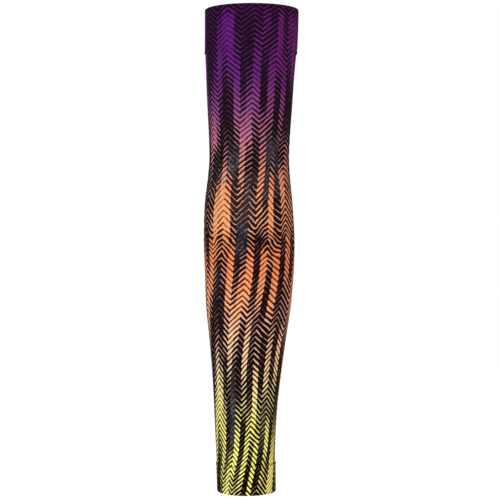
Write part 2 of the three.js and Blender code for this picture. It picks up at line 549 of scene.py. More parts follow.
def inking(drop):
    """Share of the cloth that the strokes cover, one row per drop and one column per lane."""
    thin = np.interp(drop, *np.transpose(THIN_COVER))
    lanes = [lane_swell(drop, bolds, thin * weight) for bolds, weight in zip(lane_bolds, lane_weight)]
    lanes = patched(drop[:, None], np.stack(lanes, axis=1), PATCHES)
    # painted shade at the two elbow creases: the strokes thinned there
    for middle, reach, share in CREASE_SHADES:
        away = (drop[:, None] - middle) / reach
        lanes = lanes * (1 - share * np.exp(-(away**2)))
    return lanes


print(f"{len(PATCHES)} patches, {len(CREASE_SHADES)} creases, {inking(skin_drops).mean():.2f} covered on average")

# %% [markdown]
# Where the knit is stretched hard over the elbow, and in a streak above the wrist, the near-black ink
# greys: the white yarn grins through it, and a painted sheen lies on it. The strokes waver there as
# well, because the cloth creases. This is a second set of patches on the same lanes.

# %% Set where the dark ink greys
PLAIN_GREY = 0.02
# how far the dark ink greys: the white yarn grinning through and a painted sheen on the stretched knit
GREYS = [  # turns at the rim, drops in mm, and how far the dark ink greys
    (-30, -12, 120, 146, 0.9),
    (24, 34.5, 118, 166, 0.6),
    (24, 51, 116, 134, 0.86),
    (43, 51, 118, 166, 0.5),
    (-21, 14, 150, 186, 0.64),
    (-12, 14, 148, 156, 0.85),
    (-12, 4, 184, 216, 0.82),
    (-62, -46, 142, 158, 1.0),
    (-38, -30, 228, 268, 0.45),
    (-4, 4, 312, 382, 0.85),
    (51, 62, 340, 382, 0.6),
]


def greying(drop):
    """How far the dark ink greys, one row per drop and one column per lane."""
    return patched(drop[:, None], np.full((len(drop), lane_count), PLAIN_GREY), GREYS)


print(f"{len(GREYS)} greyed patches")

# %% [markdown]
# ## Sublimation-printed polyester knit
# The cloth is a polyester and elastane jersey, white when knitted, with its colour carried in by
# heat as a gas, so the print lies in the fibres and has no film or edge of its own. To the eye that
# gives a fully matte cloth, strokes with slightly soft edges, and near-black areas that grey a little
# where the knit is stretched, partly the white yarn and partly a painted sheen. The next cells build
# it up: where the strokes are, the bright ink in them, the dark ink between them, and the loops of
# the knit.
#
# The strokes come from the numbers on the mesh: the part of a stroke's spacing that lies nearest its
# middle is inked. Noise makes them waver, most at the bend of the elbow and in the ruck below it, and
# cuts dark wavy breaks into them where the dark ink greys most, a painted shadow of small creases.

# %% Find the strokes
ELBOW = 162  # drop of the bend of the elbow, where the strokes waver most
RUCK = 200  # drop of the ruck below the elbow, where whole strokes are pushed out of line
NOISE_MEAN = 0.5
FLECKED = 0.65  # how grey the dark ink has to be before the painted highlights of the flecks and the painted crease shadows show
STROKE_SOFTNESS = 0.07  # share of half a spacing, to either side of a stroke's edge, where it fades
PURE_EDGE = 0.17  # share of a stroke, at its edge, where the dye is a purer colour


def patch_size(size_mm, detail):
    """Settings of a noise whose patches are about so many millimetres apart."""
    return {"Scale": 1 / (size_mm * MM), "Detail": detail}


WAVER = patch_size(2.381, 1.0)
ELBOW_WAVER = {"From_Max": 70 / LENGTH, "To_Min": 0.34, "To_Max": 0.09}  # in stroke spacings
GREY_WAVER = 0.3
SWAY = patch_size(13.333, 1.0)
RUCK_SWAY = {"From_Max": 22 / LENGTH, "To_Min": 2.6, "To_Max": 0.6}
UNEVEN = patch_size(4.1667, 1.0)
UNEVEN_SHARE = {"To_Min": -0.17, "To_Max": 0.17}
# painted crease shadows: dark wavy breaks cut across the strokes where the dark ink greys most
CREASE_SHADOW = patch_size(3.8462, 2.0)
CREASE_SHADOW_SHAPE = (0.55, 0.55, 1.5)  # wider than tall, as creases lie
CREASE_SHADOW_DEPTH = {"From_Min": 0.56, "From_Max": 0.7, "To_Max": 2.2}
CREASE_SHADOW_WHERE_GREY = {"From_Min": FLECKED, "From_Max": 0.8, "To_Min": 0.07, "To_Max": 0.45}


def distance(tree, down, drop):
    """How far a place is from a drop, as a share of the sleeve's length."""
    apart = add_node(tree, "Math", {"operation": "SUBTRACT"}, down, drop / LENGTH)
    return add_node(tree, "Math", {"operation": "ABSOLUTE"}, apart)


def wavering(tree, place, down, grey):
    """How far the strokes are pushed out of line, in spacings."""
    reach = add_node(tree, "MapRange", Value=distance(tree, down, ELBOW), **ELBOW_WAVER)
    reach = add_node(tree, "Math", {"operation": "MULTIPLY_ADD"}, grey, GREY_WAVER, reach)
    waver = add_node(tree, "TexNoise", Vector=place, **WAVER)
    waver = add_node(tree, "Math", {"operation": "SUBTRACT"}, waver, NOISE_MEAN)
    waver = add_node(tree, "Math", {"operation": "MULTIPLY"}, waver, reach)
    rucked = add_node(tree, "MapRange", Value=distance(tree, down, RUCK), **RUCK_SWAY)
    sway = add_node(tree, "TexNoise", Vector=place, **SWAY)
    sway = add_node(tree, "Math", {"operation": "SUBTRACT"}, sway, NOISE_MEAN)
    return add_node(tree, "Math", {"operation": "MULTIPLY_ADD"}, sway, rucked, waver)


def inked_share(tree, place, cover, grey):
    """Share of a spacing that a stroke covers, uneven along it and cut by painted crease shadows."""
    uneven = add_node(tree, "TexNoise", Vector=place, **UNEVEN)
    uneven = add_node(tree, "MapRange", Value=uneven, **UNEVEN_SHARE)
    # painted crease shadow: dark lines taken out of the strokes
    flat_way = add_node(tree, "Mapping", Vector=place, Scale=CREASE_SHADOW_SHAPE)
    crease_shadow = add_node(tree, "TexNoise", Vector=flat_way, **CREASE_SHADOW)
    crease_shadow = add_node(tree, "MapRange", Value=crease_shadow, **CREASE_SHADOW_DEPTH)
    creased = add_node(tree, "MapRange", Value=grey, **CREASE_SHADOW_WHERE_GREY)
    crease_shadow = add_node(tree, "Math", {"operation": "MULTIPLY"}, crease_shadow, creased)
    uneven = add_node(tree, "Math", {"operation": "SUBTRACT"}, uneven, crease_shadow)
    return add_node(tree, "Math", {"operation": "ADD"}, cover, uneven)


def inked_strokes(tree, place, down, cover, grey):
    """Two masks, of the strokes and of their middles: the part of each spacing nearest its middle."""
    stroke = add_node(tree, "Attribute", {"attribute_name": "stroke"}, take="Fac")
    stroke = add_node(tree, "Math", {"operation": "ADD"}, stroke, wavering(tree, place, down, grey))
    within = add_node(tree, "Math", {"operation": "FRACT"}, stroke)
    within = add_node(tree, "Math", {"operation": "MULTIPLY_ADD"}, within, 2.0, -1.0)
    from_middle = add_node(tree, "Math", {"operation": "ABSOLUTE"}, within)
    share = inked_share(tree, place, cover, grey)
    inside = add_node(tree, "Math", {"operation": "SUBTRACT"}, share, from_middle)
    further_in = add_node(tree, "Math", {"operation": "MULTIPLY_ADD"}, cover, -PURE_EDGE, inside)
    soft = {"From_Min": -STROKE_SOFTNESS, "From_Max": STROKE_SOFTNESS}
    smooth = {"interpolation_type": "SMOOTHSTEP"}
    return [add_node(tree, "MapRange", smooth, Value=value, **soft) for value in (inside, further_in)]


print(f"strokes waver most {ELBOW} and {RUCK} mm below the rim")

# %% [markdown]
# The bright ink fades down the sleeve through stops of colour in a ramp. The stops follow the mean
# colours measured in the photograph, stretch by stretch, and were corrected until the render's means
# came near them. On the right the ink is a little redder, near the upper rim with magenta in it. It
# mottles, because the dye takes unevenly, is starved in the thinnest strokes, and is a purer colour
# along the edge of a stroke, where less dye has gone in.

# %% Mix the bright ink
INK = [  # drop in mm and the bright ink there
    (0, "#5a1c70"), (40, "#602274"), (64, "#652d73"), (88, "#834e7b"), (112, "#b4718c"), (136, "#cd8f86"),
    (160, "#eda884"), (185, "#eeaa80"), (209, "#eb9268"), (234, "#ec9a70"), (258, "#eeb08c"),
    (283, "#f3c8a8"), (307, "#f4d6b0"), (332, "#f6e6a8"), (356, "#fbf596"), (420, "#fdfa9e"),
]
STARVED = [  # drop in mm and the ink of the thinnest strokes there
    (0, "#47284d"), (80, "#6a4a66"), (130, "#a08c8a"), (250, "#b4a0a0"),
    (330, "#b0a090"), (380, "#a89c70"), (420, "#a89c68"),
]
STARVED_COVER = {"From_Max": 0.5, "To_Min": 0.95, "To_Max": 0.0}
RED_SIDE = "#ffece0"  # what the bright ink is multiplied by on the right
MAGENTA = [(0, "#300c00"), (50, "#280a00"), (90, "#000000")]  # drop in mm and the red that is added there
RED_FROM = {"From_Min": -5 * MM, "From_Max": 30 * MM}  # left to right
MOTTLE = patch_size(3.0303, 3.0)
MOTTLE_SHADE = {"From_Min": 0.3, "From_Max": 0.7, "To_Min": 0.86, "To_Max": 1.06}
EDGE_SATURATION = 1.45
COLOUR = {"data_type": "RGBA"}


def with_stops(colour, stops):
    """Fills the ramp that a colour comes from with stops of drop in mm and sRGB hex."""
    elements = colour.node.color_ramp.elements
    elements.remove(elements[-1])
    for number, (drop, hex_colour) in enumerate(stops):
        element = elements.new(drop / LENGTH) if number else elements[0]
        element.position = drop / LENGTH
        element.color = linear(hex_colour)
    return colour


def bright_ink(tree, place, down, cover, stroke_middles):
    """The fade of bright ink: redder on the right, mottled, starved in hairlines, pure at the edges."""
    sideways = add_node(tree, "SeparateXYZ", Vector=place, take="X")
    redder = add_node(tree, "MapRange", Value=sideways, **RED_FROM)
    bright, magenta, pale = (
        with_stops(add_node(tree, "ValToRGB", Fac=down), stops) for stops in (INK, MAGENTA, STARVED)
    )
    for blend, colour in (("MULTIPLY", linear(RED_SIDE)), ("ADD", magenta)):
        bright = add_node(tree, "Mix", {**COLOUR, "blend_type": blend}, Factor=redder, A=bright, B=colour)
    mottle = add_node(tree, "TexNoise", Vector=place, **MOTTLE)
    mottle = add_node(tree, "MapRange", Value=mottle, **MOTTLE_SHADE)
    bright = add_node(tree, "VectorMath", {"operation": "SCALE"}, bright, Scale=mottle)
    starved = add_node(tree, "MapRange", Value=cover, **STARVED_COVER)
    bright = add_node(tree, "Mix", COLOUR, Factor=starved, A=bright, B=pale)
    pure = add_node(tree, "HueSaturation", Saturation=EDGE_SATURATION, Color=bright)
    return add_node(tree, "Mix", COLOUR, Factor=stroke_middles, A=pure, B=bright)


print(f"bright ink of {len(INK)} stops")

# %% [markdown]
# The dark ink is near-black, but never dead black. Between bold strokes the bright dye has crept into
# it and warms it. Where the knit is stretched it turns to charcoal in long streaks, partly the white
# yarn grinning through and partly a painted sheen, and where it is greyest, pale flecks are painted
# highlights on small creases.

# %% Mix the dark ink
GROUND = [  # drop in mm and the dark ink there
    (0, "#20071f"), (60, "#1e0a1d"), (110, "#1b0912"), (170, "#1a0a09"),
    (240, "#20090a"), (300, "#1a0708"), (345, "#130502"), (420, "#0e0501"),
]
CREPT = [  # drop in mm and the dark ink between bold strokes
    (0, "#3e104a"), (64, "#42154a"), (88, "#4a1b41"), (112, "#562233"), (136, "#56241c"),
    (160, "#702a11"), (209, "#62230d"), (258, "#662e15"), (307, "#66441d"), (332, "#54440f"),
    (356, "#4b4409"), (420, "#464006"),
]
CREPT_COVER = {"From_Min": 0.35, "From_Max": 0.85}
CHARCOAL = [  # drop in mm and the dark ink where the white yarn grins through and a painted sheen lies
    (0, "#2b2630"), (138, "#2f2d34"), (158, "#463236"), (176, "#3c2f35"),
    (192, "#2a2530"), (212, "#252028"), (320, "#302f35"), (420, "#2b2b31"),
]
GRIN_AND_SHEEN = patch_size(11.111, 2.0)
GRIN_AND_SHEEN_SHAPE = (1.0, 1.0, 0.35)  # taller than wide, as the knit runs
GRIN_AND_SHEEN_SHARE = {"From_Min": 0.3, "From_Max": 0.55}
# pale flecks: painted highlights on small creases in the greyest dark ink
FLECK_HIGHLIGHT = "#98949a"
FLECK = patch_size(3.0303, 1.5)
FLECK_SHAPE = (0.7, 0.7, 1.6)
FLECK_LINE = {"From_Min": 0.01, "From_Max": 0.05, "To_Min": 0.9, "To_Max": 0.0}  # only near the mean
BREAK = patch_size(1.25, 1.0)
BREAK_SHARE = {"From_Min": 0.4, "From_Max": 0.6}
FLECK_WHERE_GREYEST = {"From_Min": FLECKED, "From_Max": 0.9, "To_Max": 0.8}


def flecks(tree, place, grin_and_sheen):
    """Painted highlights on small creases: thin lines of noise, broken up, where the dark ink greys most.
    """
    flat_way = add_node(tree, "Mapping", Vector=place, Scale=FLECK_SHAPE)
    fleck = add_node(tree, "TexNoise", Vector=flat_way, **FLECK)
    fleck = add_node(tree, "Math", {"operation": "SUBTRACT"}, fleck, NOISE_MEAN)
    fleck = add_node(tree, "Math", {"operation": "ABSOLUTE"}, fleck)
    fleck = add_node(tree, "MapRange", Value=fleck, **FLECK_LINE)
    broken = add_node(tree, "TexNoise", Vector=place, **BREAK)
    broken = add_node(tree, "MapRange", Value=broken, **BREAK_SHARE)
    fleck_gate = add_node(tree, "MapRange", Value=grin_and_sheen, **FLECK_WHERE_GREYEST)
    for share in (broken, fleck_gate):
        fleck = add_node(tree, "Math", {"operation": "MULTIPLY"}, fleck, share)
    return fleck


def dark_ink(tree, place, down, cover, grey):
    """The near-black between the strokes, tinted by bold strokes, greyed by the grinning white yarn and a
    painted sheen, and flecked with painted highlights.
    """
    ground, crept, charcoal = (
        with_stops(add_node(tree, "ValToRGB", Fac=down), stops) for stops in (GROUND, CREPT, CHARCOAL)
    )
    bold = add_node(tree, "MapRange", Value=cover, **CREPT_COVER)
    dark = add_node(tree, "Mix", COLOUR, Factor=bold, A=ground, B=crept)
    # charcoal streaks: the grinning white yarn and a painted sheen
    long_way = add_node(tree, "Mapping", Vector=place, Scale=GRIN_AND_SHEEN_SHAPE)
    grin_and_sheen = add_node(tree, "TexNoise", Vector=long_way, **GRIN_AND_SHEEN)
    grin_and_sheen = add_node(tree, "MapRange", Value=grin_and_sheen, **GRIN_AND_SHEEN_SHARE)
    grin_and_sheen = add_node(tree, "Math", {"operation": "MULTIPLY"}, grin_and_sheen, grey)
    dark = add_node(tree, "Mix", COLOUR, Factor=grin_and_sheen, A=dark, B=charcoal)
    return add_node(tree, "Mix", COLOUR, Factor=flecks(tree, place, grin_and_sheen), A=dark, B=linear(FLECK_HIGHLIGHT))


print(f"dark ink of {len(GROUND)} stops, charcoal of {len(CHARCOAL)}")

# %% [markdown]
# The two inks meet in one material for the face and one for the reverse, where the print is only a
# ghost in white yarn. The loops of the jersey lean to and fro from course to course: two folded
# numbers, multiplied, give a little height and shade to each of them.

# %% Make the printed knit
# Fine polyester filaments scatter light every way: IOR 1.5 as for the plastic, hardly any gloss left.
KNIT_FINISH = {"IOR": 1.5, "Specular IOR Level": 0.02, "Roughness": 0.85}
HAIRLINE = {"From_Max": 0.35, "To_Min": 0.5}  # cover below which a stroke has less ink, and how little
REVERSE_YARN = "#d8d5d2"
GHOST = 0.4  # share of the print that shows on the reverse
LOOP_HEIGHT = 0.4 * MM
LOOP_STRENGTH = 0.6
LOOP_SHADE = {"From_Max": 0.16, "To_Min": 0.78, "To_Max": 1.11}  # darker between the loops


def share_of_length(tree, place):
    """How far down the sleeve a place is: 0 at the upper rim and 1 at the wrist."""
    height = add_node(tree, "SeparateXYZ", Vector=place, take="Z")
    return add_node(tree, "MapRange", Value=height, From_Min=RIM_Z, From_Max=RIM_Z - LENGTH * MM)


def loop_height(tree):
    """The loops of the jersey, from the wales and courses counted on the mesh."""
    knit = add_node(tree, "Attribute", {"attribute_name": "knit"}, take="Vector")
    wales, courses = (add_node(tree, "SeparateXYZ", Vector=knit, take=axis) for axis in "XY")
    wale = add_node(tree, "Math", {"operation": "PINGPONG"}, wales, 0.5)
    course = add_node(tree, "Math", {"operation": "ADD"}, courses, wale)
    course = add_node(tree, "Math", {"operation": "PINGPONG"}, course, 0.5)
    return add_node(tree, "Math", {"operation": "MULTIPLY"}, wale, course)


def printed_knit(name, ghost=None):
    """The printed face of the knit; ghost fades it towards the white yarn of the reverse."""
    material, shader = start_material(name, KNIT_FINISH)
    tree = material.node_tree
    place = add_node(tree, "TexCoord", take="Object")
    down = share_of_length(tree, place)
    cover = add_node(tree, "Attribute", {"attribute_name": "cover"}, take="Fac")
    grey = add_node(tree, "Attribute", {"attribute_name": "grey"}, take="Fac")
    strokes, stroke_middles = inked_strokes(tree, place, down, cover, grey)
    strength = add_node(tree, "MapRange", Value=cover, **HAIRLINE)
    inked = add_node(tree, "Math", {"operation": "MULTIPLY"}, strokes, strength)
    bright = bright_ink(tree, place, down, cover, stroke_middles)
    dark = dark_ink(tree, place, down, cover, grey)
    colour = add_node(tree, "Mix", COLOUR, Factor=inked, A=dark, B=bright)
    if ghost:
        colour = add_node(tree, "Mix", COLOUR, Factor=ghost, A=linear(REVERSE_YARN), B=colour)
    loop = loop_height(tree)
    shade = add_node(tree, "MapRange", Value=loop, **LOOP_SHADE)
    colour = add_node(tree, "VectorMath", {"operation": "SCALE"}, colour, Scale=shade)
    tree.links.new(colour, shader.inputs["Base Color"])
    bump = add_node(tree, "Bump", Height=loop, Strength=LOOP_STRENGTH, Distance=LOOP_HEIGHT)
    tree.links.new(bump, shader.inputs["Normal"])
    return material


face_side = printed_knit("sublimation_printed_polyester_jersey")
wrong_side = printed_knit("polyester_jersey_reverse", GHOST)
print(f"{face_side.name}: {len(face_side.node_tree.nodes)} nodes, and {wrong_side.name}")

# %% [markdown]
# ## Small relief
#
# Even a tight sleeve is not a perfect tube. The seams gather the single layer into tiny puckers, the
# lengthwise seam lies in a shallow ditch at the back, and the slack at the bend of the elbow makes
# faint ripples. All of it is well under a millimetre, but it breaks up the light along the sleeve.
# It is added to the mesh as real depth.

# %% Add puckers, a ditch and ripples
PUCKER = {"height": 0.16, "reach": 7, "waves": (31, 43, 57)}
DITCH = {"depth": 0.3, "half_width": 1.4}
RIPPLES = [  # drop, height, half the stretch and spacing in mm, and slant in mm per degree
    (122, 0.22, 16, 8.0, 0.10),
    (150, 0.14, 12, 9.5, -0.12),
    (192, 0.24, 14, 8.5, 0.08),
    (384, 0.12, 16, 10.0, 0.15),
]
RIPPLE_MEAN = 0.5
RIPPLE_SWELLS = [(3, 0.3), (7, 0.2)]  # times round the arm that ripples come and go, and by how much
pucker_phases = rng.uniform(0, 2 * math.pi, len(PUCKER["waves"]))
ripple_phases = rng.uniform(0, 2 * math.pi, (len(RIPPLES), len(RIPPLE_SWELLS)))


def ditch(from_seam):
    """Depth in mm at a distance from the middle of the back seam."""
    return DITCH["depth"] * np.exp(-((from_seam / DITCH["half_width"]) ** 2))


def relief(drop):
    """Height off the skin in mm, one row per drop and one column per panel column."""
    drop = drop[:, None]
    turn = np.radians(panel_turns[None, :-1])
    waves = sum(np.sin(k * turn + phase) for k, phase in zip(PUCKER["waves"], pucker_phases))
    from_band = np.minimum(np.abs(drop - UPPER_SEAM), np.abs(drop - WRIST_SEAM))
    gathered = np.exp(-((from_band / PUCKER["reach"]) ** 2))
    height = PUCKER["height"] * waves / len(PUCKER["waves"]) * gathered
    height = height - ditch((math.pi - np.abs(turn)) * arm_radius(drop))
    for (middle, crest, reach, apart, slant), phases in zip(RIPPLES, ripple_phases):
        along = (drop - middle + slant * np.degrees(turn)) / apart
        share = np.exp(-(((drop - middle) / reach) ** 2))
        swell = RIPPLE_MEAN
        for (times, depth), phase in zip(RIPPLE_SWELLS, phases):
            swell = swell + depth * np.sin(times * turn + phase)
        height = height + crest * share * swell * np.sin(2 * math.pi * along)
    return height


print(f"relief from {relief(skin_drops).min():.2f} to {relief(skin_drops).max():.2f} mm")

# %% [markdown]
# ## Cloth from rows
#
# The real panel is printed flat and then sewn into a tube, so the print does not match across the
# back seam. The numbers for the print therefore go on the corners of the faces, where the two edges
# of the panel can keep their own values though they share their points.

# %% Store the print on the corners of a wall
KNIT_MM = 1.1  # wale to wale; real jersey has 0.5, drawn coarser so that it shows


def on_corners(values, closing=None):
    """Values at rows and panel columns, taken to the corners; closing is the row after the last."""
    ahead = np.roll(values, -1, axis=0)
    if closing is not None:
        ahead[-1] = closing
    return np.stack([values[:, :-1], ahead[:, :-1], ahead[:, 1:], values[:, 1:]], axis=-1)


def from_lanes(values):
    """Values at rows and lanes, taken to the corners, with the lanes blended over their edges."""
    columns = np.arange(len(panel_turns))
    left = np.maximum(-(-columns // len(LANE_COLUMNS)) - 1, 0)
    right = np.minimum(columns // len(LANE_COLUMNS), lane_count - 1)
    return on_corners((values[:, left] + values[:, right]) / 2)


def store_print(mesh, printed, girth):
    """Stores the print on a wall whose rows lie at these places in the print, and the knit's loops."""
    strokes = stroke_number(printed[:, None], panel_lifts[None, :])
    numbers = {
        "stroke": on_corners(strokes),
        "cover": from_lanes(inking(printed)),
        "grey": from_lanes(greying(printed)),
    }
    for key, values in numbers.items():
        mesh.attributes.new(key, "FLOAT", "CORNER").data.foreach_set("value", values.ravel())
    wales = on_corners((panel_turns[None, :] + 180) / 360 * girth / KNIT_MM + 0 * strokes)
    courses = on_corners(printed[:, None] / KNIT_MM + 0 * strokes)
    knit = np.stack([wales, courses, 0 * wales], axis=-1)
    mesh.attributes.new("knit", "FLOAT_VECTOR", "CORNER").data.foreach_set("vector", knit.ravel())


print(f"knit drawn with a wale every {KNIT_MM} mm")

# %% [markdown]
# Each piece of cloth is one closed wall: a loop of rows that goes down the outside, round the end
# and back up the inside, swept round the arm. Written as a table of drop, distance off the skin and
# place in the print, the same few lines build the body and both bands.

# %% Build a cloth wall from its rows
def finish_piece(name, mesh, materials):
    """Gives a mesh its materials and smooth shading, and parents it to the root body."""
    for material in materials:
        mesh.materials.append(material)
    mesh.polygons.foreach_set("use_smooth", np.ones(len(mesh.polygons), bool))
    mesh.update()
    piece = add_object(name, mesh)
    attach(piece, "root")
    return piece


def cloth_wall(name, rows, materials):
    """A closed wall of cloth from a dict of arrays, with one value for each row.

    drop and out are the row's place in mm, down the sleeve and off the skin. printed is its place in
    the print, and side is 0 on the face and 1 on the reverse. u_from, u_to and v give its stretch of
    the bake map, and v_closing the v of the row where the wall meets itself again.
    """
    turn = turned(panel_turns[:-1], rows["drop"])
    points = skin(rows["drop"], turn, rows["out"][:, None] + relief(rows["drop"]))
    corner = np.arange(turn.size).reshape(turn.shape)
    below = np.roll(corner, -1, axis=0)
    faces = [corner, below, np.roll(below, -1, axis=1), np.roll(corner, -1, axis=1)]
    mesh = bpy.data.meshes.new(name)
    mesh.from_pydata(points.reshape(-1, 3).tolist(), [], np.stack(faces, axis=-1).reshape(-1, 4).tolist())
    steps = np.diff(points[..., :2], axis=1, append=points[:, :1, :2])
    store_print(mesh, rows["printed"], np.linalg.norm(steps, axis=-1).sum(1).max() / MM)
    width = (panel_turns[None, :] + 180) / 360
    u = rows["u_from"][:, None] + (rows["u_to"] - rows["u_from"])[:, None] * width
    v = rows["v"][:, None] + 0 * u
    unwrap = np.stack([on_corners(u), on_corners(v, rows["v_closing"])], axis=-1)
    mesh.uv_layers.new(name="OFBake").data.foreach_set("uv", unwrap.ravel())
    sides = np.repeat(rows["side"], turn.shape[1]).astype(np.int32)
    mesh.polygons.foreach_set("material_index", sides)
    return finish_piece(name, mesh, materials)


print("cloth walls have", len(panel_turns) - 1, "faces round the arm")

# %% [markdown]
# ## The body of the sleeve
#
# The body is a single layer. Its two ends are tucked a few millimetres into the folded bands, the
# way the real edge is caught between the two layers of a hem, so no slit shows at the seams. Inside
# it shows the white reverse of the knit with a ghost of the print.

# %% Sew the body
KNIT_THICKNESS = 0.9  # mm
TUCK = 5  # mm inside each band
TUCKED_THICKNESS = 0.45
TUCK_EASE = (0.5, 4)  # mm from the seam over which the pressed layer regains its thickness
ROW_STEP = 2.4
FACE_WIDTH = 0.6  # share of the bake map's width for the face; the reverse gets the rest
REVERSE_FROM = 0.62

outer_count = int((WRIST_SEAM - UPPER_SEAM) / ROW_STEP) + 1
outer_drop = np.linspace(UPPER_SEAM - TUCK, WRIST_SEAM + TUCK, outer_count)
inner_drop = outer_drop[::-2]
from_seam = np.minimum(inner_drop - UPPER_SEAM, WRIST_SEAM - inner_drop)
plumped = (KNIT_THICKNESS - TUCKED_THICKNESS) * smooth_step(*TUCK_EASE, from_seam)
body_drop = np.concatenate([outer_drop, inner_drop])
body_side = np.repeat([0, 1], [len(outer_drop), len(inner_drop)])
body_rows = {
    "drop": body_drop,
    "out": np.concatenate([0 * outer_drop, -TUCKED_THICKNESS - plumped]),
    "printed": body_drop,
    "side": body_side,
    "u_from": np.where(body_side, REVERSE_FROM, 0.0),
    "u_to": np.where(body_side, 1.0, FACE_WIDTH),
    "v": 1 - body_drop / LENGTH,
    "v_closing": 1 - outer_drop[0] / LENGTH,
}
sleeve_cloth = cloth_wall("sleeve_cloth", body_rows, [face_side, wrong_side])
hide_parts("sleeve_body")
print(f"{sleeve_cloth.name}: {len(sleeve_cloth.data.polygons)} faces")

# %% [markdown]
# ## The hem bands
#
# Each band is a strip folded double, with the fold at the rim. The wall below is that fold: along
# the outside, over the rim, back along the arm, and once more between the layers where the body is
# tucked.

# %% Fold the bands
LAYER = 0.6  # mm of one layer of a band
BAND_THICKNESS = 1.8
EDGE_START = 0.3  # mm from the seam to where a band's flat sides begin
BAND_ROW_STEP = 1.2
TUCK_ROW_EVERY = 3  # between the layers, one row for so many outside
FOLD_STEPS = 9
EDGE_STEPS = 5
band_out = BAND_PROUD
band_in = BAND_PROUD - BAND_THICKNESS


def half_turn(steps):
    """Sines and cosines along half a turn, without its two ends."""
    angle = np.linspace(0, math.pi, steps)[1:-1]
    return np.sin(angle), np.cos(angle)


def band_rows(seam, height, towards_rim):
    """Rows of a folded band: towards_rim is -1 where the rim is above the seam, 1 where below."""
    middle, reach = (band_out + band_in) / 2, (band_out - band_in) / 2
    fold_rise, fold_swing = half_turn(FOLD_STEPS)
    edge_rise, edge_swing = half_turn(EDGE_STEPS)
    outside = np.linspace(EDGE_START, height - reach, int(height / BAND_ROW_STEP))
    between = outside[::TUCK_ROW_EVERY]
    gap = reach - LAYER
    edge = EDGE_START - LAYER / 2 * edge_rise
    parts = [  # distance from the seam towards the rim, and distance off the skin
        (outside, 0 * outside + band_out),
        (height - reach + reach * fold_rise, middle + reach * fold_swing),
        (outside[::-1], 0 * outside + band_in),
        (edge, band_in + LAYER / 2 - LAYER / 2 * edge_swing),
        (between, 0 * between + band_in + LAYER),
        (height - reach + gap * edge_rise, middle - gap * edge_swing),
        (between[::-1], 0 * between + band_out - LAYER),
        (edge, band_out - LAYER / 2 - LAYER / 2 * edge_swing),
    ]
    up, out = (np.concatenate(values) for values in zip(*parts))
    length = np.cumsum(np.hypot(np.diff(up, prepend=up[0]), np.diff(out, prepend=out[0])))
    closing = math.hypot(up[0] - up[-1], out[0] - out[-1])
    around = length[-1] + closing
    on_last_edge = np.arange(len(up)) >= len(up) - len(edge)
    rows = {
        "drop": seam + towards_rim * up,
        "out": out,
        "printed": seam + towards_rim * (length - around * on_last_edge),
        "side": 0 * up,
        "u_from": 0 * up,
        "u_to": 0 * up + 1,
        "v": (length + closing) / (around + closing),
    }
    if towards_rim < 0:
        rows = {key: values[::-1] for key, values in rows.items()}
    rows["v_closing"] = 1.0 if towards_rim > 0 else 0.0
    return rows


upper_rows = band_rows(UPPER_SEAM, UPPER_SEAM, -1)
upper_band_cloth = cloth_wall("upper_band_cloth", upper_rows, [face_side])
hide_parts("upper_band")
wrist_rows = band_rows(WRIST_SEAM, LENGTH - WRIST_SEAM, 1)
wrist_band_cloth = cloth_wall("wrist_band_cloth", wrist_rows, [face_side])
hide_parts("wrist_band")
print(f"bands: {len(upper_band_cloth.data.polygons)} and {len(wrist_band_cloth.data.polygons)} faces")

# %% [markdown]
# ## Dyed polyester sewing thread
#
# Stretch seams are sewn with soft, bulky polyester thread, picked to match the cloth so that it
# hardly shows. Its filaments are lightly twisted: up close each stitch shows slanting strands and a
# small sheen, and from a few steps away it is lost between the strokes of the print.

# %% Make the thread
# Twisted filaments lie side by side, so a thread has more gloss than the knit, along its strands.
THREAD_FINISH = {"IOR": 1.5, "Roughness": 0.6, "Specular IOR Level": 0.15}
THREAD_DYE = [  # drop in mm and the colour of the thread there, between the dark and the bright ink
    (0, "#2c1634"), (100, "#3c2238"), (200, "#4e2f24"), (300, "#54412a"), (420, "#66602c"),
]
STRAND_SHADE = {"From_Max": 0.5, "To_Min": 0.5, "To_Max": 1.2}
STRAND_HEIGHT = 0.1 * MM
STRAND_STRENGTH = 0.5

thread, thread_shader = start_material("twisted_polyester_thread", THREAD_FINISH)
thread_tree = thread.node_tree
strand = add_node(thread_tree, "Attribute", {"attribute_name": "twist"}, take="Fac")
strand = add_node(thread_tree, "Math", {"operation": "FRACT"}, strand)
strand = add_node(thread_tree, "Math", {"operation": "PINGPONG"}, strand, 0.5)
thread_place = add_node(thread_tree, "TexCoord", take="Object")
thread_down = share_of_length(thread_tree, thread_place)
dye = with_stops(add_node(thread_tree, "ValToRGB", Fac=thread_down), THREAD_DYE)
strand_shade = add_node(thread_tree, "MapRange", Value=strand, **STRAND_SHADE)
dye = add_node(thread_tree, "VectorMath", {"operation": "SCALE"}, dye, Scale=strand_shade)
thread_tree.links.new(dye, thread_shader.inputs["Base Color"])
strand_bump = add_node(thread_tree, "Bump", Height=strand, Strength=STRAND_STRENGTH, Distance=STRAND_HEIGHT)
thread_tree.links.new(strand_bump, thread_shader.inputs["Normal"])
print("material", thread.name)

# %% [markdown]
# ## The seams
#
# Each stitch is a short bar of thread that dives into the cloth at both ends. A curve with a bevel
# could give the same bars, but one mesh for each seam is lighter and keeps every stitch on the skin.

# %% Make bars of thread
THREAD_RADIUS = 0.17  # mm
THREAD_TWIST = 5  # strands that cross one stitch
STITCH_SIDES = 6
STITCH_TAPER = 0.25  # how far into half a wave a stitch starts, so that its ends are not points


